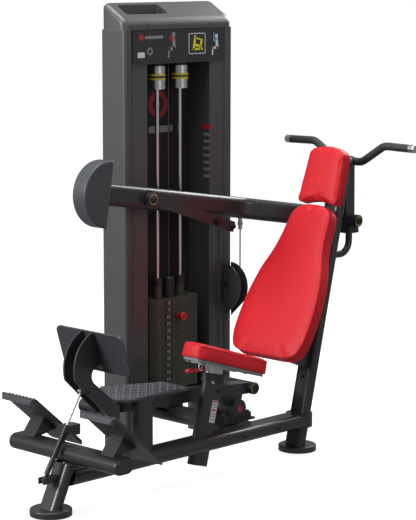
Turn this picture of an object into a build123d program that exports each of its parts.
from build123d import *
import os
from math import atan2, cos, degrees, hypot, radians, sin, tan

os.makedirs("parts", exist_ok=True)

# Frame of the part: origin under the front foot, +X towards the back of the seat,
# +Y towards the weight tower, +Z up.  Everything is in millimetres.

# ---------------------------------------------------------------- floor frame
PAD_H = 8
DISC_R = 83.5
DISC_T = 26
DISC_TOP = PAD_H + DISC_T
REAR_FOOT_X = 1442
RAIL_W = 120
RAIL_H = 60
RAIL_Z = 144
RAIL_START_X = 120
RAIL_END_X = 1512
POST_LONG = 100
POST_SHORT = 50
WALL = 4
FRONT_LEAN = 25
REAR_LEAN = 13.5
REAR_POST_X = 1428
REAR_POST_LEN = 1215
CROSSBAR_X = 102
CROSSBAR_W = 100
CROSSBAR_H = 65
CROSSBAR_Z = 236
CROSSBAR_HALF = 315

# ---------------------------------------------------------------- foot rests and step
REST_INNER_Y = 133
REST_OUTER_Y = 329
REST_LIP = (22, 414)
REST_TOE = (32, 450)
REST_HEEL = (300, 218)
REST_T = 12
REST_CORNER = 24
STEP_POST_X = 495
STEP_TOP = 402

# ---------------------------------------------------------------- weight tower
TOWER_X = 1152
TOWER_HALF = 329
TOWER_FRONT = 440
TOWER_BACK = 588
TOWER_DEPTH = TOWER_BACK - TOWER_FRONT
TOWER_LOW = 20
TOWER_HIGH = 1850
STRIP_W = 46
CORNER_R = 14
WINDOW_HALF = 192
SHEET = 3
COVER_END = 20
BASE_LOW = 192
BASE_HIGH = 235
CROSS_TUBE_X = 1145

# ---------------------------------------------------------------- weight stack
STACK_X = 1155
STACK_Y = 515
ROD_HALF = 70
ROD_R = 9
PLATE_PITCH = 31
PLATE_H = 30
PLATE_W = 300
PLATE_D = 110
STACK_LOW = 262
PLATES_RESTING = 10
PLATES_TOTAL = 13
SELECTOR_R = 11
PIN_R = 5
WEIGHT_R = 37
WEIGHT_LOW = 1588
WEIGHT_H = 100

# ---------------------------------------------------------------- press arm
PIVOT_X = 848
PIVOT_Z = 1145
SHAFT_R = 20
SHAFT_FIT = 0.05
BEAM_Y = 350
BEAM_H = 94
BEAM_W = 50
BEAM_DROP = 9
BEAM_FRONT = -232
BEND_X = 1450
HUB_X = 1777
HUB_Z = 998
HUB_R = 27
HUB_HALF = 57
HUB_SHAFT_R = 17
COUNTER_R = 142
COUNTER_T = 80
BAR_DROP = 18.4
BAR_LEN = 512
BAR_W = 46
PUSH_S = 412
PUSH_PIN_R = 7
HANDLE_X = 1772
GRIP_R = 17.5
HANDLE_CORE_R = 13

# ---------------------------------------------------------------- cable and pulleys
CABLE_R = 3
DROP_X = 1452
DROP_Y = 360
DROP_R = 77.5
DROP_Z = 690
TOP_R = 45
TOP_Z = 1785
ROD_TOP = 1724

# ---------------------------------------------------------------- seat and pads
COLUMN_LEAN = 14.8
COLUMN_FOOT = (811, 54)
COLUMN_LEN = 384
SEAT_TILT = 18
SEAT_TOP = (925, 534)
SEAT_T = 61
BOARD_T = 12
RELEASE_X = 860
RELEASE_Z = 460
RELEASE_PIN_R = 3
BACK_LEAN = 28.5
BACK_FACE = (1372, 799)
BACK_T = 62
BACK_W_HALF = 210
# Height up the pad from its middle, and half its width there.
BACK_HALVES = (
    (-374, 0),
    (-373, 110),
    (-366, 158),
    (-340, 190),
    (-285, 207),
    (-210, BACK_W_HALF),
    (-130, 206),
    (-59, 196),
    (22, 177),
    (102, 147),
    (183, 128),
    (250, 120),
    (296, 109),
    (324, 80),
    (336, 42),
    (338, 0),
)
HEAD_LEAN = 17.4
HEAD_FACE = (1584, 1215)
HEAD_T = 55

# ---------------------------------------------------------------- foot lever
LEVER_X = 1133
LEVER_Z = 231
PUSH_X = 1233
PUSH_Z = 305
BEAM_FOOT_X = 330
BEAM_FOOT_Z = 362
LEVER_BEAM_Y = 115
LEVER_BEAM_W = 60
PEDAL_HALF = 190
STRUT_LOW = (-34, 150)
STRUT_HIGH = (164, 472)
STRUT_PIN_R = 4
CYLINDER_R = 11
CYLINDER_START = 26
CYLINDER_TOP = 232
STRUT_ROD_R = 5
ROD_START = 95
PEDAL_T = 8


def finish(piece, name):
    """Label a finished piece and write it under its own name."""
    piece.part.label = name
    export_step(piece.part, f"parts/{name}.step")


def side_plane(y):
    """Upright plane across the machine at y: x is X, y is Z, it faces -Y."""
    return Plane(origin=(0, y, 0), x_dir=(1, 0, 0), z_dir=(0, -1, 0))


def lean_plane(x, z, lean, long_axis):
    """Plane across a post that leans back by lean degrees, long side along Y or X."""
    a = radians(lean)
    across = (0, 1, 0) if long_axis == "Y" else (cos(a), 0, -sin(a))
    return Plane(origin=(x, 0, z), x_dir=across, z_dir=(sin(a), 0, cos(a)))


def polygon(*points):
    """Closed straight outline as a face."""
    with BuildLine() as outline:
        Polyline(*points, close=True)
    make_face(outline.edges())


def along(point, drop, distance):
    """Point at a distance along a line that drops by drop degrees towards the rear."""
    return (point[0] + distance * cos(radians(drop)), point[1] - distance * sin(radians(drop)))


FRONT_POST = lean_plane(0, DISC_TOP, FRONT_LEAN, "Y")
REAR_POST = lean_plane(REAR_POST_X, DISC_TOP, REAR_LEAN, "Y")
COLUMN = lean_plane(*COLUMN_FOOT, COLUMN_LEAN, "X")
post_rear_face = Vector(cos(radians(FRONT_LEAN)), 0, -sin(radians(FRONT_LEAN)))
FRONT_POST_BACK = Plane(
    origin=FRONT_POST.origin + post_rear_face * (POST_SHORT / 2),
    x_dir=(0, 1, 0),
    z_dir=post_rear_face,
)

# ================================================================ floor frame
with BuildPart() as foot_discs:
    with BuildSketch(Plane.XY.offset(PAD_H)):
        with Locations((0, 0), (REAR_FOOT_X, 0)):
            Circle(DISC_R)
    extrude(amount=DISC_T)
    fillet(foot_discs.edges().group_by(Axis.Z)[-1], 6)
finish(foot_discs, "foot_discs")

with BuildPart() as levelling_pads:
    with BuildSketch():
        with Locations((0, 0), (REAR_FOOT_X, 0)):
            Circle(45)
    extrude(amount=PAD_H)
    with BuildSketch():
        for side in (-1, 1):
            with Locations((TOWER_X + side * (TOWER_HALF - 23), (TOWER_FRONT + TOWER_BACK) / 2)):
                Rectangle(40, 130)
    extrude(amount=TOWER_LOW)
finish(levelling_pads, "levelling_pads")

with BuildPart() as front_post:
    with BuildSketch(FRONT_POST.offset(-30)):
        SlotOverall(POST_LONG, POST_SHORT)
    extrude(amount=260)
    with BuildSketch(FRONT_POST.offset(-30)):
        SlotOverall(POST_LONG - 2 * WALL, POST_SHORT - 2 * WALL)
    extrude(amount=260, mode=Mode.SUBTRACT)
    split(bisect_by=Plane.XY.offset(DISC_TOP), keep=Keep.TOP)
    split(bisect_by=Plane.XY.offset(CROSSBAR_Z - CROSSBAR_H / 2), keep=Keep.BOTTOM)
finish(front_post, "front_post")

with BuildPart() as rear_post:
    with BuildSketch(REAR_POST.offset(-20)):
        SlotOverall(POST_LONG, POST_SHORT)
    extrude(amount=REAR_POST_LEN + 20)
    fillet(rear_post.edges().group_by(Axis.Z)[-1], 4)
    with BuildSketch(REAR_POST.offset(-20)):
        SlotOverall(POST_LONG - 2 * WALL, POST_SHORT - 2 * WALL)
    extrude(amount=REAR_POST_LEN + 20 - 6, mode=Mode.SUBTRACT)
    split(bisect_by=Plane.XY.offset(DISC_TOP), keep=Keep.TOP)
finish(rear_post, "rear_post")

with BuildPart() as base_rail:
    with BuildSketch(Plane.YZ):
        with Locations((0, RAIL_Z)):
            SlotOverall(RAIL_W, RAIL_H)
    extrude(amount=RAIL_END_X - RAIL_W / 2)
    with BuildSketch(Plane.XY.offset(RAIL_Z - RAIL_H / 2)):
        with Locations((RAIL_END_X - RAIL_W / 2, 0)):
            Circle(RAIL_W / 2 - 1)
    extrude(amount=RAIL_H)
    with BuildSketch(Plane.YZ.offset(RAIL_START_X)):
        with Locations((0, RAIL_Z)):
            SlotOverall(RAIL_W - 2 * WALL, RAIL_H - 2 * WALL)
    extrude(amount=RAIL_END_X - RAIL_W - RAIL_START_X, mode=Mode.SUBTRACT)
    split(bisect_by=FRONT_POST_BACK, keep=Keep.TOP)
    with BuildSketch(REAR_POST):
        SlotOverall(POST_LONG, POST_SHORT)
    extrude(amount=400, mode=Mode.SUBTRACT)
    with BuildSketch(COLUMN):
        SlotOverall(POST_LONG, POST_SHORT)
    extrude(amount=COLUMN_LEN, mode=Mode.SUBTRACT)
finish(base_rail, "base_rail")

with BuildPart() as footrest_crossbar:
    with BuildSketch(side_plane(CROSSBAR_HALF)):
        with Locations((CROSSBAR_X, CROSSBAR_Z)):
            SlotOverall(CROSSBAR_W, CROSSBAR_H)
    extrude(amount=2 * CROSSBAR_HALF)
    fillet(footrest_crossbar.faces().filter_by(Axis.Y).edges(), 10)
finish(footrest_crossbar, "footrest_crossbar")

# ================================================================ foot rests and step
rest_slope = degrees(atan2(REST_TOE[1] - REST_HEEL[1], REST_HEEL[0] - REST_TOE[0]))


def footrest_under(x):
    """Height of the underside of the foot rest's straight lower run at x."""
    fall = (x - REST_TOE[0]) * tan(radians(rest_slope))
    return REST_TOE[1] - fall - REST_T / cos(radians(rest_slope))


with BuildPart() as footrest_plates:
    for side in (-1, 1):
        far_y = REST_OUTER_Y if side > 0 else -REST_INNER_Y
        with BuildSketch(side_plane(far_y)):
            with BuildLine():
                FilletPolyline(REST_LIP, REST_TOE, REST_HEEL, radius=REST_T + 3)
                offset(amount=REST_T, side=Side.RIGHT)
            make_face()
        extrude(amount=REST_OUTER_Y - REST_INNER_Y)
    with BuildSketch():
        for side in (-1, 1):
            with Locations(((REST_LIP[0] + REST_HEEL[0]) / 2, side * (REST_INNER_Y + REST_OUTER_Y) / 2)):
                RectangleRounded(REST_HEEL[0] - REST_LIP[0], REST_OUTER_Y - REST_INNER_Y, REST_CORNER)
    extrude(amount=REST_TOE[1] + REST_T, mode=Mode.INTERSECT)
finish(footrest_plates, "footrest_plates")

with BuildPart() as front_brackets:
    for side in (-1, 1):
        with BuildSketch(side_plane(side * 231 + 36)):
            polygon(
                (85, CROSSBAR_Z + CROSSBAR_H / 2),
                (126, CROSSBAR_Z + CROSSBAR_H / 2),
                (205, footrest_under(205)),
                (140, footrest_under(140)),
            )
        extrude(amount=72)
    with BuildSketch(side_plane(52)):
        polygon((98, CROSSBAR_Z + CROSSBAR_H / 2), (118, CROSSBAR_Z + CROSSBAR_H / 2), (136, 300), (112, 300))
    extrude(amount=22)
    with BuildSketch(side_plane(66)):
        polygon((110, 296), (172, 296), (172, 338), (110, 338))
    extrude(amount=50)
    with BuildSketch(side_plane(16)):
        polygon((-50, 137), (34, 137), (44, 162), (-50, 162))
    extrude(amount=32)
    with BuildSketch(side_plane(10)):
        with Locations(STRUT_LOW):
            Rectangle(44, 60)
    extrude(amount=20, mode=Mode.SUBTRACT)
    with BuildSketch(side_plane(16)):
        with Locations(STRUT_LOW):
            Circle(STRUT_PIN_R)
    extrude(amount=32)
    with BuildSketch(FRONT_POST):
        SlotOverall(POST_LONG, POST_SHORT)
    extrude(amount=300, mode=Mode.SUBTRACT)
finish(front_brackets, "front_brackets")

with BuildPart() as step_post:
    with BuildSketch(Plane.XY.offset(RAIL_Z + RAIL_H / 2)):
        with Locations((STEP_POST_X, 0)):
            SlotOverall(POST_LONG, POST_SHORT)
            SlotOverall(POST_LONG - 2 * WALL, POST_SHORT - 2 * WALL, mode=Mode.SUBTRACT)
    extrude(amount=STEP_TOP - 10 - RAIL_Z - RAIL_H / 2)
finish(step_post, "step_post")

with BuildPart() as step_platform:
    with BuildSketch(Plane.XY.offset(STEP_TOP - 10)):
        polygon((352, 62), (392, -28), (742, -34), (742, 128), (492, 252))
    extrude(amount=10)
    fillet(step_platform.edges().filter_by(Axis.Z), 20)
finish(step_platform, "step_platform")

# ================================================================ tower frame
with BuildPart() as tower_base:
    with BuildSketch(side_plane(TOWER_BACK - 6)):
        with Locations((CROSS_TUBE_X, RAIL_Z)):
            SlotOverall(RAIL_W, RAIL_H)
    extrude(amount=TOWER_BACK - 6)
    with BuildSketch(Plane.YZ.offset(CROSS_TUBE_X - 100)):
        with Locations((0, RAIL_Z)):
            SlotOverall(RAIL_W, RAIL_H)
    extrude(amount=200, mode=Mode.SUBTRACT)
    with BuildSketch(Plane.XY.offset(RAIL_Z)):
        with Locations((CROSS_TUBE_X, STACK_Y)):
            Rectangle(90, 110)
    extrude(amount=BASE_LOW - RAIL_Z + 1)
    with BuildSketch(Plane.XY.offset(BASE_LOW)):
        with Locations((TOWER_X, STACK_Y)):
            Rectangle(2 * (TOWER_HALF - SHEET - 1), 124)
            for side in (-1, 1):
                with Locations((side * (WINDOW_HALF + 62), 0)):
                    Rectangle(90, 96, mode=Mode.SUBTRACT)
    extrude(amount=BASE_HIGH - BASE_LOW)
    with BuildSketch(Plane.XY.offset(BASE_HIGH)):
        with Locations((STACK_X - ROD_HALF, STACK_Y), (STACK_X + ROD_HALF, STACK_Y)):
            Circle(28)
            Circle(ROD_R, mode=Mode.SUBTRACT)
    extrude(amount=STACK_LOW - BASE_HIGH)
finish(tower_base, "tower_base")

with BuildPart() as tower_panels:
    for side in (-1, 1):
        outer_x = TOWER_X + side * TOWER_HALF
        strip_x = outer_x - side * STRIP_W
        jamb_x = TOWER_X + side * WINDOW_HALF
        with BuildSketch(Plane.XY.offset(TOWER_LOW)):
            with Locations(((outer_x + strip_x) / 2, (TOWER_FRONT + TOWER_BACK) / 2)):
                RectangleRounded(STRIP_W, TOWER_DEPTH, CORNER_R)
                RectangleRounded(STRIP_W - 2 * SHEET, TOWER_DEPTH - 2 * SHEET, CORNER_R - SHEET, mode=Mode.SUBTRACT)
            with Locations((strip_x, TOWER_BACK - 30)):
                Rectangle(10 * SHEET, 150, mode=Mode.SUBTRACT)
        extrude(amount=TOWER_HIGH - TOWER_LOW)
        wide = abs(strip_x - jamb_x) - 2
        with BuildSketch(Plane.XY.offset(TOWER_LOW)):
            with Locations((jamb_x + side * wide / 2, TOWER_FRONT + 8)):
                Rectangle(wide, SHEET)
            with Locations((jamb_x + side * SHEET / 2, (TOWER_FRONT + TOWER_BACK) / 2 + 2)):
                Rectangle(SHEET, TOWER_DEPTH - 16)
        extrude(amount=TOWER_HIGH - TOWER_LOW)
    with BuildSketch(Plane.XY.offset(BASE_LOW)):
        with Locations((TOWER_X, STACK_Y)):
            Rectangle(2 * (TOWER_HALF - SHEET - 1), 124)
    extrude(amount=BASE_HIGH - BASE_LOW, mode=Mode.SUBTRACT)
    with BuildSketch(side_plane(TOWER_BACK + 1)):
        with Locations((PIVOT_X, PIVOT_Z)):
            Circle(23)
    extrude(amount=200, mode=Mode.SUBTRACT)
    with BuildSketch(side_plane(TOWER_FRONT + 60)):
        with Locations((DROP_X, DROP_Z)):
            Rectangle(42, 2 * DROP_R + 40)
    extrude(amount=100, mode=Mode.SUBTRACT)
    with BuildSketch(Plane.XY.offset(TOP_Z - TOP_R)):
        with Locations((TOWER_X + WINDOW_HALF + 30, STACK_Y)):
            Rectangle(140, 56)
    extrude(amount=TOWER_HIGH - TOP_Z + TOP_R, mode=Mode.SUBTRACT)
finish(tower_panels, "tower_panels")

with BuildPart() as header_panel:
    with BuildSketch(side_plane(TOWER_FRONT + 6)):
        with Locations((TOWER_X, (1700 + TOWER_HIGH) / 2)):
            RectangleRounded(2 * (TOWER_HALF - STRIP_W) - 8, TOWER_HIGH - 1700 - 4, 10)
    extrude(amount=4)
finish(header_panel, "header_panel")

with BuildPart() as tower_back_panel:
    with BuildSketch(side_plane(TOWER_BACK - 7)):
        with Locations((TOWER_X, (BASE_HIGH + 1 + TOWER_HIGH) / 2)):
            Rectangle(2 * WINDOW_HALF - 2, TOWER_HIGH - BASE_HIGH - 1)
    extrude(amount=SHEET)
finish(tower_back_panel, "tower_back_panel")

with BuildPart() as tower_top_cover:
    with BuildSketch(Plane.YZ.offset(TOWER_X - TOWER_HALF)):
        with BuildLine():
            Line((TOWER_BACK, TOWER_HIGH), (TOWER_FRONT, TOWER_HIGH))
            Line((TOWER_FRONT, TOWER_HIGH), (TOWER_FRONT, TOWER_HIGH + 8))
            ThreePointArc(
                (TOWER_FRONT, TOWER_HIGH + 8),
                (TOWER_FRONT + 9, TOWER_HIGH + 30),
                (TOWER_FRONT + 30, TOWER_HIGH + 46),
            )
            Line((TOWER_FRONT + 30, TOWER_HIGH + 46), (TOWER_BACK, TOWER_HIGH + 112))
            Line((TOWER_BACK, TOWER_HIGH + 112), (TOWER_BACK, TOWER_HIGH))
        make_face()
    extrude(amount=2 * TOWER_HALF)
    slope_edges = tower_top_cover.faces().sort_by(Axis.Z)[-1].edges()
    top_ends = slope_edges.filter_by(lambda e: abs(e.length - 134.9) < 2)
    fillet(top_ends, 26)
    with BuildSketch(Plane.YZ.offset(TOWER_X - TOWER_HALF + COVER_END)):
        polygon(
            (TOWER_FRONT + SHEET, TOWER_HIGH - 1),
            (TOWER_BACK - SHEET, TOWER_HIGH - 1),
            (TOWER_BACK - SHEET, TOWER_HIGH + 106),
            (TOWER_FRONT + 31, TOWER_HIGH + 42),
            (TOWER_FRONT + 14, TOWER_HIGH + 28),
        )
    extrude(amount=2 * (TOWER_HALF - COVER_END), mode=Mode.SUBTRACT)
    with BuildSketch(Plane.XY.offset(TOWER_HIGH)):
        with Locations((TOWER_X - 150, TOWER_FRONT + 76)):
            RectangleRounded(250, 66, 12)
    extrude(amount=200, mode=Mode.SUBTRACT)
finish(tower_top_cover, "tower_top_cover")

# ================================================================ weight stack
rod_spots = [(STACK_X - ROD_HALF, STACK_Y), (STACK_X + ROD_HALF, STACK_Y)]

with BuildPart() as guide_rods:
    with BuildSketch(Plane.XY.offset(BASE_HIGH)):
        with Locations(*rod_spots):
            Circle(ROD_R)
    extrude(amount=ROD_TOP - BASE_HIGH)
finish(guide_rods, "guide_rods")


def plate_outline():
    """Weight plate seen from above, with its front corners cut and its three bores."""
    half = PLATE_W / 2
    front = STACK_Y - PLATE_D / 2
    polygon(
        (STACK_X - half + 24, front),
        (STACK_X + half - 24, front),
        (STACK_X + half, front + 24),
        (STACK_X + half, front + PLATE_D),
        (STACK_X - half, front + PLATE_D),
        (STACK_X - half, front + 24),
    )
    with Locations(*rod_spots):
        Circle(ROD_R + 1, mode=Mode.SUBTRACT)
    with Locations((STACK_X, STACK_Y)):
        Circle(SELECTOR_R + 1, mode=Mode.SUBTRACT)


def stack_plates(first, count):
    """Weight plates, each a solid of its own, numbered from the bottom."""
    for index in range(first, first + count):
        low = STACK_LOW + index * PLATE_PITCH
        with BuildSketch(Plane.XY.offset(low)) as outline:
            plate_outline()
        extrude(outline.sketch, amount=PLATE_H)
        with BuildSketch(side_plane(STACK_Y)) as pin_hole:
            with Locations((STACK_X, low + PLATE_H / 2)):
                Circle(PIN_R + 0.6)
        extrude(pin_hole.sketch, amount=100, mode=Mode.SUBTRACT)


with BuildPart() as resting_plates:
    stack_plates(0, PLATES_RESTING)
finish(resting_plates, "resting_plates")

with BuildPart() as selected_plates:
    stack_plates(PLATES_RESTING, PLATES_TOTAL - PLATES_RESTING)
finish(selected_plates, "selected_plates")

stack_top = STACK_LOW + (PLATES_TOTAL - 1) * PLATE_PITCH + PLATE_H
pin_z = STACK_LOW + PLATES_RESTING * PLATE_PITCH + PLATE_H / 2

with BuildPart() as selector_rod:
    with BuildSketch(Plane.XY.offset(STACK_LOW + 4)):
        with Locations((STACK_X, STACK_Y)):
            Circle(SELECTOR_R)
    extrude(amount=stack_top - STACK_LOW)
    for index in range(PLATES_TOTAL - 1):
        with BuildSketch(side_plane(STACK_Y + 20)):
            with Locations((STACK_X, STACK_LOW + index * PLATE_PITCH + PLATE_H / 2)):
                Circle(PIN_R + 0.6)
        extrude(amount=40, mode=Mode.SUBTRACT)
    with BuildSketch(Plane.XY.offset(stack_top)):
        with Locations((STACK_X, STACK_Y)):
            Circle(27)
    extrude(amount=92)
    fillet(selector_rod.edges().group_by(Axis.Z)[-1], 6)
    for spot in rod_spots:
        with BuildSketch(Plane.XY.offset(stack_top)):
            with Locations(spot):
                Circle(19)
                Circle(ROD_R + 1, mode=Mode.SUBTRACT)
        extrude(amount=58)
        with BuildSketch(Plane.XY.offset(stack_top + 58)):
            with Locations(spot):
                Circle(24)
                Circle(ROD_R + 1, mode=Mode.SUBTRACT)
        extrude(amount=34)
finish(selector_rod, "selector_rod")

with BuildPart() as selector_pin:
    with BuildSketch(side_plane(STACK_Y + 10)):
        with Locations((STACK_X, pin_z)):
            Circle(PIN_R)
    extrude(amount=10 + PLATE_D / 2 + 4)
    with BuildSketch(side_plane(STACK_Y - PLATE_D / 2 - 2)):
        with Locations((STACK_X, pin_z)):
            Circle(13)
    extrude(amount=14)
    with BuildSketch(side_plane(STACK_Y - PLATE_D / 2 - 16)):
        with Locations((STACK_X, pin_z)):
            Circle(8)
    extrude(amount=10)
    with BuildSketch(side_plane(STACK_Y - PLATE_D / 2 - 26)):
        with Locations((STACK_X, pin_z)):
            Circle(19)
    extrude(amount=18)
    fillet(selector_pin.faces().sort_by(Axis.Y)[0].edges(), 5)
finish(selector_pin, "selector_pin")

for name, spot in zip(("left_increment_weight", "right_increment_weight"), rod_spots):
    with BuildPart() as increment_weight:
        with BuildSketch(Plane.XY.offset(WEIGHT_LOW)):
            with Locations(spot):
                Circle(WEIGHT_R)
                Circle(ROD_R + 1, mode=Mode.SUBTRACT)
        extrude(amount=WEIGHT_H)
        with BuildSketch(Plane.XY.offset(WEIGHT_LOW + 22)):
            with Locations(spot):
                Circle(WEIGHT_R + 1)
                Circle(WEIGHT_R - 2, mode=Mode.SUBTRACT)
        extrude(amount=5, mode=Mode.SUBTRACT)
    finish(increment_weight, name)

# ================================================================ cable and pulleys
inside_y = DROP_Y + 2 * DROP_R
drop_axis_y = DROP_Y + DROP_R
right_top_x = DROP_X - TOP_R
left_top_x = STACK_X + TOP_R
fitting_low = 952


def pulley(plane, centre, groove_r, width):
    """Grooved wheel with a bore, its axis along the plane's normal."""
    with BuildSketch(plane) as disc:
        with Locations(centre):
            Circle(groove_r + 6)
    extrude(disc.sketch, amount=width / 2, both=True)
    with BuildSketch(plane) as groove:
        with Locations(centre):
            Circle(groove_r + 10)
            Circle(groove_r - 3.6, mode=Mode.SUBTRACT)
    extrude(groove.sketch, amount=3.4, both=True, mode=Mode.SUBTRACT)
    with BuildSketch(plane) as bores:
        with Locations(centre):
            with PolarLocations(groove_r * 0.56, 5):
                Circle(groove_r * 0.17)
            Circle(8.05)
    extrude(bores.sketch, amount=width, both=True, mode=Mode.SUBTRACT)


with BuildPart() as drop_pulley:
    pulley(Plane.YZ.offset(DROP_X), (drop_axis_y, DROP_Z), DROP_R, 22)
finish(drop_pulley, "drop_pulley")

for name, centre_x in (("right_top_pulley", right_top_x), ("left_top_pulley", left_top_x)):
    with BuildPart() as top_pulley:
        pulley(side_plane(STACK_Y), (centre_x, TOP_Z), TOP_R, 20)
    finish(top_pulley, name)

with BuildPart() as pulley_brackets:
    for cheek_x in (DROP_X - 18, DROP_X + 14):
        with BuildSketch(Plane.YZ.offset(cheek_x)):
            with Locations((drop_axis_y, DROP_Z)):
                Circle(24)
            polygon(
                (drop_axis_y - 10, DROP_Z + 22),
                (TOWER_BACK - 10, DROP_Z + 60),
                (TOWER_BACK - 10, DROP_Z + 20),
                (drop_axis_y + 8, DROP_Z - 22),
            )
        extrude(amount=4)
    with BuildSketch(Plane.XY.offset(DROP_Z + 20)):
        with Locations((DROP_X, TOWER_BACK - SHEET - 4)):
            Rectangle(30, 8)
    extrude(amount=40)
    with BuildSketch(Plane.YZ.offset(DROP_X - 20)):
        with Locations((drop_axis_y, DROP_Z)):
            Circle(8)
    extrude(amount=40)
    for cheek_y in (STACK_Y - 20, STACK_Y + 16):
        with BuildSketch(side_plane(cheek_y + 4)):
            with Locations(((left_top_x + right_top_x) / 2, (TOP_Z - 20 + TOWER_HIGH) / 2)):
                Rectangle(right_top_x - left_top_x + 50, TOWER_HIGH - TOP_Z + 20)
        extrude(amount=4)
    with BuildSketch(side_plane(STACK_Y + 24)):
        with Locations((left_top_x, TOP_Z), (right_top_x, TOP_Z)):
            Circle(8)
    extrude(amount=48)
    with BuildSketch(Plane.XY.offset(TOWER_HIGH)):
        with Locations((TOWER_X, STACK_Y)):
            Rectangle(2 * (TOWER_HALF - COVER_END) - 2, 60)
    extrude(amount=24)
    with BuildSketch(Plane.XY.offset(ROD_TOP - 18)):
        with Locations((TOWER_X, STACK_Y)):
            Rectangle(2 * WINDOW_HALF, 60)
        with Locations(*rod_spots):
            Circle(ROD_R, mode=Mode.SUBTRACT)
        with Locations((STACK_X, STACK_Y)):
            Circle(8, mode=Mode.SUBTRACT)
    extrude(amount=18)
finish(pulley_brackets, "pulley_brackets")

with BuildPart() as drop_cable:
    with BuildSketch(Plane.XY.offset(DROP_Z)):
        with Locations((DROP_X, DROP_Y)):
            Circle(CABLE_R)
    extrude(amount=fitting_low - DROP_Z)
finish(drop_cable, "drop_cable")

with BuildPart() as lift_cable:
    with BuildLine() as lift_route:
        ThreePointArc(
            (DROP_X, DROP_Y, DROP_Z), (DROP_X, drop_axis_y, DROP_Z - DROP_R), (DROP_X, inside_y, DROP_Z)
        )
        Line((DROP_X, inside_y, DROP_Z), (DROP_X, inside_y, TOP_Z))
        corner = TOP_R * cos(radians(45))
        ThreePointArc(
            (DROP_X, inside_y, TOP_Z),
            (right_top_x + corner, inside_y, TOP_Z + corner),
            (right_top_x, inside_y, TOP_Z + TOP_R),
        )
        Line((right_top_x, inside_y, TOP_Z + TOP_R), (left_top_x, inside_y, TOP_Z + TOP_R))
        ThreePointArc(
            (left_top_x, inside_y, TOP_Z + TOP_R),
            (left_top_x - corner, inside_y, TOP_Z + corner),
            (STACK_X, inside_y, TOP_Z),
        )
    with BuildSketch(Plane(origin=(DROP_X, DROP_Y, DROP_Z), x_dir=(1, 0, 0), z_dir=(0, 0, -1))):
        Circle(CABLE_R)
    sweep()
finish(lift_cable, "lift_cable")

with BuildPart() as stack_cable:
    with BuildSketch(Plane.XY.offset(stack_top + 92)):
        with Locations((STACK_X, STACK_Y)):
            Circle(CABLE_R)
    extrude(amount=TOP_Z - stack_top - 92)
finish(stack_cable, "stack_cable")

# ================================================================ press arm
PIVOT = (PIVOT_X, PIVOT_Z)
beam_start = along(PIVOT, BEAM_DROP, BEAM_FRONT)
beam_bend = along(PIVOT, BEAM_DROP, (BEND_X - PIVOT_X) / cos(radians(BEAM_DROP)))
shaft_near_y = 288


def cross_cylinder(centre, radius, near_y, far_y, mode=Mode.ADD):
    """Round bar across the machine, from near_y to far_y."""
    with BuildSketch(side_plane(far_y)) as disc:
        with Locations(centre):
            Circle(radius)
    extrude(disc.sketch, amount=far_y - near_y, mode=mode)


with BuildPart() as main_pivot_shaft:
    cross_cylinder(PIVOT, SHAFT_R, shaft_near_y, TOWER_BACK - 3)
    fillet(main_pivot_shaft.faces().sort_by(Axis.Y)[0].edges(), 4)
    cross_cylinder(PIVOT, 23 - 0.1, 408, TOWER_BACK - 3)
    cross_cylinder(PIVOT, 44, 426, TOWER_FRONT)
finish(main_pivot_shaft, "main_pivot_shaft")

drop = radians(BEAM_DROP)
beam_section = Plane(
    origin=(beam_start[0], BEAM_Y, beam_start[1]),
    x_dir=(sin(drop), 0, cos(drop)),
    z_dir=(cos(drop), 0, -sin(drop)),
)

with BuildPart() as press_beam:
    with BuildLine() as beam_route:
        FilletPolyline(
            (beam_start[0], BEAM_Y, beam_start[1]),
            (beam_bend[0], BEAM_Y, beam_bend[1]),
            (HUB_X - 6, 92, HUB_Z + 1),
            radius=150,
        )
    with BuildSketch(beam_section):
        SlotOverall(BEAM_H, BEAM_W)
        SlotOverall(BEAM_H - 2 * WALL, BEAM_W - 2 * WALL, mode=Mode.SUBTRACT)
    sweep()
    cross_cylinder(PIVOT, 38, 323, 379)
    cross_cylinder(PIVOT, SHAFT_R + SHAFT_FIT, 300, 400, Mode.SUBTRACT)
    cross_cylinder((HUB_X, HUB_Z), 36, HUB_HALF + 3, 118)
    cross_cylinder((HUB_X, HUB_Z), HUB_SHAFT_R, -HUB_HALF - 6, 118)
    fillet(press_beam.faces().sort_by(Axis.Y)[0].edges(), 3)
finish(press_beam, "press_beam")

with BuildPart() as counterweight:
    centre = along(beam_start, BEAM_DROP, -4)
    cross_cylinder(centre, COUNTER_R, BEAM_Y - COUNTER_T / 2, BEAM_Y + COUNTER_T / 2)
    split(bisect_by=beam_section, keep=Keep.BOTTOM)
    fillet(counterweight.faces().filter_by(Axis.Y).edges(), 9)
finish(counterweight, "counterweight")

with BuildPart() as cable_fitting:
    with BuildSketch(Plane.XY.offset(fitting_low + 0.3)):
        with Locations((DROP_X, DROP_Y)):
            Circle(9)
    extrude(amount=52)
    with BuildSketch(Plane.XY.offset(fitting_low + 20)):
        with Locations((DROP_X, DROP_Y)):
            RegularPolygon(12, 6)
    extrude(amount=14)
    add(press_beam.part, mode=Mode.SUBTRACT)
finish(cable_fitting, "cable_fitting")

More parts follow.
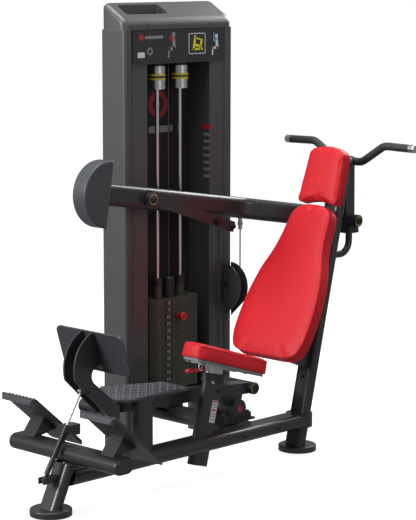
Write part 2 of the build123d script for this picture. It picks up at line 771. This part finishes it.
# ================================================================ handle yoke
with BuildPart() as handle_yoke:
    cross_cylinder((HUB_X, HUB_Z), HUB_R, -HUB_HALF, HUB_HALF + 2)
    with BuildSketch(side_plane(10)):
        polygon(
            (HUB_X - 33, HUB_Z + 10),
            (HUB_X + 26, HUB_Z + 10),
            (HANDLE_X + 28, 1284),
            (HANDLE_X - 22, 1284),
        )
    extrude(amount=20)
    fillet(handle_yoke.edges().filter_by(Axis.Y).group_by(Axis.Z)[-1], 20)
    cross_cylinder((HUB_X, HUB_Z), HUB_R - 4, -HUB_HALF, HUB_HALF + 2, Mode.SUBTRACT)
    for side in (-1, 1):
        with BuildLine() as bar_route:
            FilletPolyline(
                (HANDLE_X, side * 8, 1262),
                (HANDLE_X, side * 75, 1262),
                (HANDLE_X, side * 200, 1341),
                (HANDLE_X, side * 364, 1338),
                radius=70,
            )
        with BuildSketch(Plane(origin=(HANDLE_X, side * 8, 1262), x_dir=(1, 0, 0), z_dir=(0, side, 0))):
            Circle(HANDLE_CORE_R)
        sweep()
finish(handle_yoke, "handle_yoke")

with BuildPart() as yoke_bushes:
    for near_y, far_y in ((-HUB_HALF - 2, -HUB_HALF + 26), (HUB_HALF - 26, HUB_HALF + 2)):
        cross_cylinder((HUB_X, HUB_Z), HUB_R - 4, near_y, far_y)
        cross_cylinder((HUB_X, HUB_Z), HUB_SHAFT_R + SHAFT_FIT, near_y, far_y, Mode.SUBTRACT)
finish(yoke_bushes, "yoke_bushes")

with BuildPart() as handle_grips:
    for side in (-1, 1):
        with BuildLine() as grip_route:
            FilletPolyline(
                (HANDLE_X, side * 32, 1262),
                (HANDLE_X, side * 75, 1262),
                (HANDLE_X, side * 200, 1341),
                (HANDLE_X, side * 340, 1338.4),
                radius=70,
            )
        with BuildSketch(Plane(origin=(HANDLE_X, side * 32, 1262), x_dir=(1, 0, 0), z_dir=(0, side, 0))):
            Circle(GRIP_R)
            Circle(HANDLE_CORE_R, mode=Mode.SUBTRACT)
        sweep()
finish(handle_grips, "handle_grips")

with BuildPart() as handle_caps:
    for side in (-1, 1):
        with BuildSketch(Plane(origin=(HANDLE_X, side * 10, 1262), x_dir=(1, 0, 0), z_dir=(0, side, 0))):
            Circle(GRIP_R + 2)
        extrude(amount=21)
        with BuildSketch(Plane(origin=(HANDLE_X, side * 341, 1338.4), x_dir=(1, 0, 0), z_dir=(0, side, 0))):
            Circle(GRIP_R + 0.5)
        extrude(amount=32)
    fillet(handle_caps.edges().group_by(Axis.Y)[0] + handle_caps.edges().group_by(Axis.Y)[-1], 7)
    add(handle_yoke.part, mode=Mode.SUBTRACT)
finish(handle_caps, "handle_caps")

# ================================================================ assist bar and push rod
bar_end = along(PIVOT, BAR_DROP, BAR_LEN)
push_top = along(PIVOT, BAR_DROP, PUSH_S)

bar_plane = Plane(
    origin=(PIVOT_X, 310, PIVOT_Z),
    x_dir=(cos(radians(BAR_DROP)), 0, -sin(radians(BAR_DROP))),
    z_dir=(0, -1, 0),
)

with BuildPart() as assist_bar:
    with BuildSketch(bar_plane):
        Circle(BAR_W / 2)
        with Locations(((BAR_LEN + 16) / 2, 0)):
            Rectangle(BAR_LEN + 16, BAR_W)
    extrude(amount=12)
    cross_cylinder(PIVOT, 28, 294, 320)
    cross_cylinder(bar_end, 9, 290, 340)
    cross_cylinder(bar_end, 13, 290, 298)
    cross_cylinder(PIVOT, 24, 290, 325, Mode.SUBTRACT)
    cross_cylinder(push_top, PUSH_PIN_R + SHAFT_FIT, 290, 325, Mode.SUBTRACT)
finish(assist_bar, "assist_bar")

with BuildPart() as assist_bush:
    cross_cylinder(PIVOT, 24, 292, 321)
    cross_cylinder(PIVOT, SHAFT_R + SHAFT_FIT, 280, 330, Mode.SUBTRACT)
finish(assist_bush, "assist_bush")

with BuildPart() as push_rod:
    rod_x = push_top[0]
    rod_top_z = push_top[1]
    with BuildSketch(Plane.XY.offset(PUSH_Z + 40)):
        with Locations((rod_x, 288)):
            Circle(4)
    extrude(amount=rod_top_z - PUSH_Z - 50)
    with BuildSketch(Plane.XY.offset(PUSH_Z + 30)):
        with Locations((rod_x, 288)):
            Circle(8)
    extrude(amount=44)
    cross_cylinder(push_top, 14, 282, 296)
    cross_cylinder(push_top, PUSH_PIN_R, 290, 316)
finish(push_rod, "push_rod")

# ================================================================ foot lever
LEVER = (LEVER_X, LEVER_Z)
PUSH = (PUSH_X, PUSH_Z)

with BuildPart() as pedal_plate:
    pedal_up = atan2(160, -49)
    pedal_face = Plane(origin=(224, 0, 624), x_dir=(0, 1, 0), z_dir=(sin(pedal_up), 0, -cos(pedal_up)))
    with BuildSketch(pedal_face):
        RectangleRounded(2 * PEDAL_HALF, 172, 26)
    extrude(amount=PEDAL_T)
finish(pedal_plate, "pedal_plate")

with BuildPart() as lever_arm:
    for far_y in (34, -26):
        with BuildSketch(side_plane(far_y)):
            with BuildLine():
                ThreePointArc((196, 706), (112, 625), (106, 520))
                Line((106, 520), (262, 372))
                Line((262, 372), (338, 332))
                Line((338, 332), (338, 392))
                Line((338, 392), (205, 500))
                ThreePointArc((205, 500), (190, 530), (238, 570))
                Line((238, 570), (196, 706))
            make_face()
        extrude(amount=8)
    cross_cylinder(STRUT_HIGH, STRUT_PIN_R, -34, 34)
    cross_cylinder((306, 372), 28, -30, LEVER_BEAM_Y + LEVER_BEAM_W / 2)
    with BuildSketch(side_plane(LEVER_BEAM_Y + LEVER_BEAM_W / 2)):
        polygon(
            (BEAM_FOOT_X, BEAM_FOOT_Z - 31),
            (PUSH_X, PUSH_Z - 24),
            (PUSH_X, PUSH_Z + 24),
            (BEAM_FOOT_X, BEAM_FOOT_Z + 31),
        )
        polygon((1090, PUSH_Z - 20), (1180, PUSH_Z - 20), (LEVER_X + 30, LEVER_Z), (LEVER_X - 30, LEVER_Z))
    extrude(amount=LEVER_BEAM_W)
    cross_cylinder(LEVER, 32, 86, 192)
    cross_cylinder(PUSH, 27, 62, 300)
    cross_cylinder(LEVER, 17, 62.5, 240)
    cross_cylinder(PUSH, 23, 56, 88, Mode.SUBTRACT)
finish(lever_arm, "lever_arm")

with BuildPart() as lever_bush:
    cross_cylinder(PUSH, 23, 60, 88)
    cross_cylinder(PUSH, 20.5, 58, 88, Mode.SUBTRACT)
finish(lever_bush, "lever_bush")

# ================================================================ strut of the foot lever
strut_lean = degrees(atan2(STRUT_HIGH[0] - STRUT_LOW[0], STRUT_HIGH[1] - STRUT_LOW[1]))
strut_length = hypot(STRUT_HIGH[0] - STRUT_LOW[0], STRUT_HIGH[1] - STRUT_LOW[1])
STRUT = lean_plane(*STRUT_LOW, strut_lean, "X")

with BuildPart() as strut_cylinder:
    with BuildSketch(STRUT.offset(CYLINDER_START)):
        Circle(CYLINDER_R)
        Circle(STRUT_ROD_R + 0.3, mode=Mode.SUBTRACT)
    extrude(amount=CYLINDER_TOP - CYLINDER_START)
    with BuildSketch(STRUT.offset(CYLINDER_START)):
        Circle(CYLINDER_R)
    extrude(amount=6)
    cross_cylinder(STRUT_LOW, 10, -9, 9)
    with BuildSketch(STRUT):
        Circle(6)
    extrude(amount=CYLINDER_START + 1)
    cross_cylinder(STRUT_LOW, STRUT_PIN_R + SHAFT_FIT, -20, 20, Mode.SUBTRACT)
finish(strut_cylinder, "strut_cylinder")

with BuildPart() as strut_rod:
    with BuildSketch(STRUT.offset(ROD_START)):
        Circle(STRUT_ROD_R)
    extrude(amount=strut_length - ROD_START)
    cross_cylinder(STRUT_HIGH, 12, -9, 9)
    cross_cylinder(STRUT_HIGH, STRUT_PIN_R + 3.5, -20, 20, Mode.SUBTRACT)
finish(strut_rod, "strut_rod")

# ================================================================ under-seat bearings
with BuildPart() as pillow_blocks:
    with BuildSketch(Plane.XY.offset(RAIL_Z + RAIL_H / 2)):
        with Locations((LEVER_X - 18, 150)):
            RectangleRounded(234, 190, 8)
    extrude(amount=8)
    for near_y in (60, 204):
        with BuildSketch(side_plane(near_y + 22)):
            with Locations(LEVER):
                Circle(42)
            polygon(
                (LEVER_X - 42, LEVER_Z),
                (LEVER_X - 42, LEVER_Z - 22),
                (LEVER_X - 74, LEVER_Z - 22),
                (LEVER_X - 74, 182),
                (LEVER_X + 74, 182),
                (LEVER_X + 74, LEVER_Z - 22),
                (LEVER_X + 42, LEVER_Z - 22),
                (LEVER_X + 42, LEVER_Z),
            )
        extrude(amount=22)
    cross_cylinder(LEVER, 17 + SHAFT_FIT, 62, 240, Mode.SUBTRACT)
finish(pillow_blocks, "pillow_blocks")

with BuildPart() as bearing_caps:
    cross_cylinder(LEVER, 15, 57, 60)
finish(bearing_caps, "bearing_caps")

# ================================================================ seat
with BuildPart() as seat_column:
    with BuildSketch(COLUMN):
        SlotOverall(POST_LONG, POST_SHORT)
        SlotOverall(POST_LONG - 2 * WALL, POST_SHORT - 2 * WALL, mode=Mode.SUBTRACT)
    extrude(amount=COLUMN_LEN)
finish(seat_column, "seat_column")

with BuildPart() as column_collar:
    with BuildSketch(COLUMN.offset(COLUMN_LEN - 32)):
        SlotOverall(POST_LONG + 14, POST_SHORT + 14)
        SlotOverall(POST_LONG, POST_SHORT, mode=Mode.SUBTRACT)
    extrude(amount=32)
    with BuildSketch(COLUMN.offset(COLUMN_LEN)):
        SlotOverall(POST_LONG + 14, POST_SHORT + 14)
        SlotOverall(POST_LONG - 2 * WALL - 1, POST_SHORT - 2 * WALL - 1, mode=Mode.SUBTRACT)
    extrude(amount=5)
finish(column_collar, "column_collar")

seat_up = Vector(sin(radians(SEAT_TILT)), 0, cos(radians(SEAT_TILT)))
seat_along = Vector(cos(radians(SEAT_TILT)), 0, -sin(radians(SEAT_TILT)))
seat_top = Vector(SEAT_TOP[0], 0, SEAT_TOP[1])
SEAT_UNDER = Plane(origin=seat_top - seat_up * SEAT_T, x_dir=seat_along, z_dir=seat_up)


def seat_outline(inset):
    """Seat seen from above: a narrow nose widening towards the back."""
    polygon(
        (-152 + inset, 58 - inset),
        (188 - inset, 166 - inset),
        (188 - inset, -166 + inset),
        (-152 + inset, -58 + inset),
    )


with BuildPart() as seat_pad:
    with BuildSketch(SEAT_UNDER):
        seat_outline(0)
    extrude(amount=SEAT_T)
    uprights = seat_pad.edges().filter_by(lambda e: abs(e.length - SEAT_T) < 0.01)
    fillet(uprights, 34)
    fillet(seat_pad.faces().sort_by(lambda f: f.center().dot(seat_up))[-1].edges(), 12)
finish(seat_pad, "seat_pad")

with BuildPart() as seat_board:
    with BuildSketch(SEAT_UNDER.offset(-BOARD_T)):
        seat_outline(12)
    extrude(amount=BOARD_T)
    uprights = seat_board.edges().filter_by(lambda e: abs(e.length - BOARD_T) < 0.01)
    fillet(uprights, 24)
finish(seat_board, "seat_board")

with BuildPart() as seat_carriage:
    with BuildSketch(COLUMN.offset(200)):
        SlotOverall(POST_LONG - 2 * WALL - 4, POST_SHORT - 2 * WALL - 4)
        SlotOverall(POST_LONG - 2 * WALL - 12, POST_SHORT - 2 * WALL - 12, mode=Mode.SUBTRACT)
    extrude(amount=300)
    with BuildSketch(SEAT_UNDER.offset(-BOARD_T - 6)):
        with Locations((-4, 0)):
            Rectangle(190, 110)
    extrude(amount=6)
    for lug_y in (12, -6):
        with BuildSketch(side_plane(lug_y)):
            polygon(
                (RELEASE_X - 12, RELEASE_Z + 24),
                (RELEASE_X + 20, RELEASE_Z + 14),
                (RELEASE_X + 9, RELEASE_Z - 8),
                (RELEASE_X - 9, RELEASE_Z - 8),
            )
        extrude(amount=6)
    cross_cylinder((RELEASE_X, RELEASE_Z), RELEASE_PIN_R + SHAFT_FIT, -20, 20, Mode.SUBTRACT)
    split(bisect_by=SEAT_UNDER.offset(-BOARD_T), keep=Keep.BOTTOM)
finish(seat_carriage, "seat_carriage")

with BuildPart() as release_lever:
    with BuildSketch(side_plane(5)):
        with Locations((RELEASE_X, RELEASE_Z)):
            Circle(8)
        polygon(
            (RELEASE_X, RELEASE_Z + 7),
            (RELEASE_X - 44, RELEASE_Z + 4),
            (RELEASE_X - 98, RELEASE_Z + 8),
            (RELEASE_X - 98, RELEASE_Z - 6),
            (RELEASE_X - 44, RELEASE_Z - 8),
            (RELEASE_X, RELEASE_Z - 7),
        )
    extrude(amount=10)
    cross_cylinder((RELEASE_X, RELEASE_Z), RELEASE_PIN_R, -12, 12)
finish(release_lever, "release_lever")

# ================================================================ backrest and headrest
def face_plane(point, lean, depth):
    """Plane behind a pad's front face: x is across, y up the pad, z towards the sitter."""
    a = radians(lean)
    toward = Vector(-cos(a), 0, sin(a))
    return Plane(origin=Vector(point[0], 0, point[1]) - toward * depth, x_dir=(0, -1, 0), z_dir=toward)


def back_outline(inset):
    """Backrest outline: wide at the hips with square lower corners, tapering to the shoulders."""
    middle = (BACK_HALVES[0][0] + BACK_HALVES[-1][0]) / 2
    scale = 1 - inset / BACK_W_HALF
    right = [(half * scale, middle + (up - middle) * scale) for up, half in BACK_HALVES]
    left = [(-across, up) for across, up in right[-2:0:-1]]
    with BuildLine() as outline:
        Spline(*right, *left, periodic=True)
    make_face(outline.edges())


def head_outline(inset):
    """Headrest outline: crowned top and hollowed lower edge."""
    with BuildLine() as outline:
        Line((-113 + inset, -128 + inset), (-102 + inset, 118 - inset))
        ThreePointArc((-102 + inset, 118 - inset), (0, 132 - inset), (102 - inset, 118 - inset))
        Line((102 - inset, 118 - inset), (113 - inset, -128 + inset))
        ThreePointArc((113 - inset, -128 + inset), (0, -112 + inset), (-113 + inset, -128 + inset))
    make_face(outline.edges())


def depth_edges(piece, depth):
    """Edges that run straight through the thickness of a pad or board."""
    return piece.edges().filter_by(lambda e: abs(e.length - depth) < 0.01)


with BuildPart() as backrest_pad:
    with BuildSketch(face_plane(BACK_FACE, BACK_LEAN, BACK_T)):
        back_outline(0)
    extrude(amount=BACK_T)
finish(backrest_pad, "backrest_pad")

with BuildPart() as headrest_pad:
    with BuildSketch(face_plane(HEAD_FACE, HEAD_LEAN, HEAD_T)):
        head_outline(0)
    extrude(amount=HEAD_T)
    fillet(depth_edges(headrest_pad, HEAD_T), 34)
finish(headrest_pad, "headrest_pad")

BACK_BOARD = face_plane(BACK_FACE, BACK_LEAN, BACK_T + BOARD_T)
HEAD_BOARD = face_plane(HEAD_FACE, HEAD_LEAN, HEAD_T + BOARD_T)
with BuildPart() as pad_boards:
    with BuildSketch(HEAD_BOARD):
        head_outline(14)
    extrude(amount=BOARD_T)
    fillet(depth_edges(pad_boards, BOARD_T), 22)
    with BuildSketch(BACK_BOARD):
        back_outline(16)
    extrude(amount=BOARD_T)
finish(pad_boards, "pad_boards")

with BuildPart() as pad_brackets:
    with BuildSketch(side_plane(18)):
        polygon((1310, 585), (1280, 452), (1520, 355), (1570, 470))
        polygon((1470, 935), (1440, 870), (1660, 850), (1690, 925))
        polygon((1620, 1245), (1600, 1140), (1720, 1130), (1740, 1220))
    extrude(amount=36)
    split(bisect_by=BACK_BOARD, keep=Keep.BOTTOM)
    split(bisect_by=HEAD_BOARD, keep=Keep.BOTTOM)
    with BuildSketch(REAR_POST):
        SlotOverall(POST_LONG, POST_SHORT)
        with Locations((0, -300)):
            Rectangle(POST_LONG * 2, 600)
    extrude(amount=REAR_POST_LEN + 100, mode=Mode.SUBTRACT)
finish(pad_brackets, "pad_brackets")

# ================================================================ rest of the press arm
CRADLE_TOP = HUB_Z - HUB_R - 0.5
J_LOW_Z = 850

with BuildPart() as rest_bracket:
    with BuildLine() as j_route:
        FilletPolyline((1560, 0, J_LOW_Z), (HUB_X, 0, J_LOW_Z), (HUB_X, 0, CRADLE_TOP - 30), radius=58)
    with BuildSketch(Plane(origin=(1560, 0, J_LOW_Z), x_dir=(0, 1, 0), z_dir=(1, 0, 0))):
        Circle(15)
    sweep()
    with BuildSketch(REAR_POST):
        SlotOverall(POST_LONG, POST_SHORT)
        with Locations((0, 300)):
            Rectangle(POST_LONG * 2, 600)
    extrude(amount=REAR_POST_LEN, mode=Mode.SUBTRACT)
finish(rest_bracket, "rest_bracket")

with BuildPart() as rest_cradle:
    with BuildSketch(side_plane(30)):
        polygon(
            (HUB_X - 26, CRADLE_TOP + 10),
            (HUB_X + 26, CRADLE_TOP + 10),
            (HUB_X + 34, CRADLE_TOP - 30),
            (HUB_X - 34, CRADLE_TOP - 30),
        )
    extrude(amount=60)
    cross_cylinder((HUB_X, HUB_Z), HUB_R + 0.5, -40, 40, Mode.SUBTRACT)
    fillet(rest_cradle.edges().group_by(Axis.Z)[0], 4)
finish(rest_cradle, "rest_cradle")

# ================================================================ fasteners of the frame
with BuildPart() as frame_bolts:
    for height in (300, 520):
        for face in (-1, 1):
            outward = REAR_POST.y_dir * face
            bolt_seat = Plane(
                origin=REAR_POST.origin + REAR_POST.z_dir * height + outward * (POST_SHORT / 2),
                x_dir=(0, 1, 0),
                z_dir=outward,
            )
            with BuildSketch(bolt_seat):
                Circle(9)
            extrude(amount=3)
            with BuildSketch(bolt_seat.offset(3)):
                RegularPolygon(8, 6)
            extrude(amount=7)
    for bolt_x in (1040, 1250):
        with BuildSketch(side_plane(-RAIL_W / 2)):
            with Locations((bolt_x, RAIL_Z)):
                Circle(6)
        extrude(amount=4)
    for bolt_x in (LEVER_X - 62, LEVER_X + 62):
        for bolt_y in (71, 215):
            with BuildSketch(Plane.XY.offset(LEVER_Z - 22)):
                with Locations((bolt_x, bolt_y)):
                    RegularPolygon(8, 6)
            extrude(amount=7)
finish(frame_bolts, "frame_bolts")
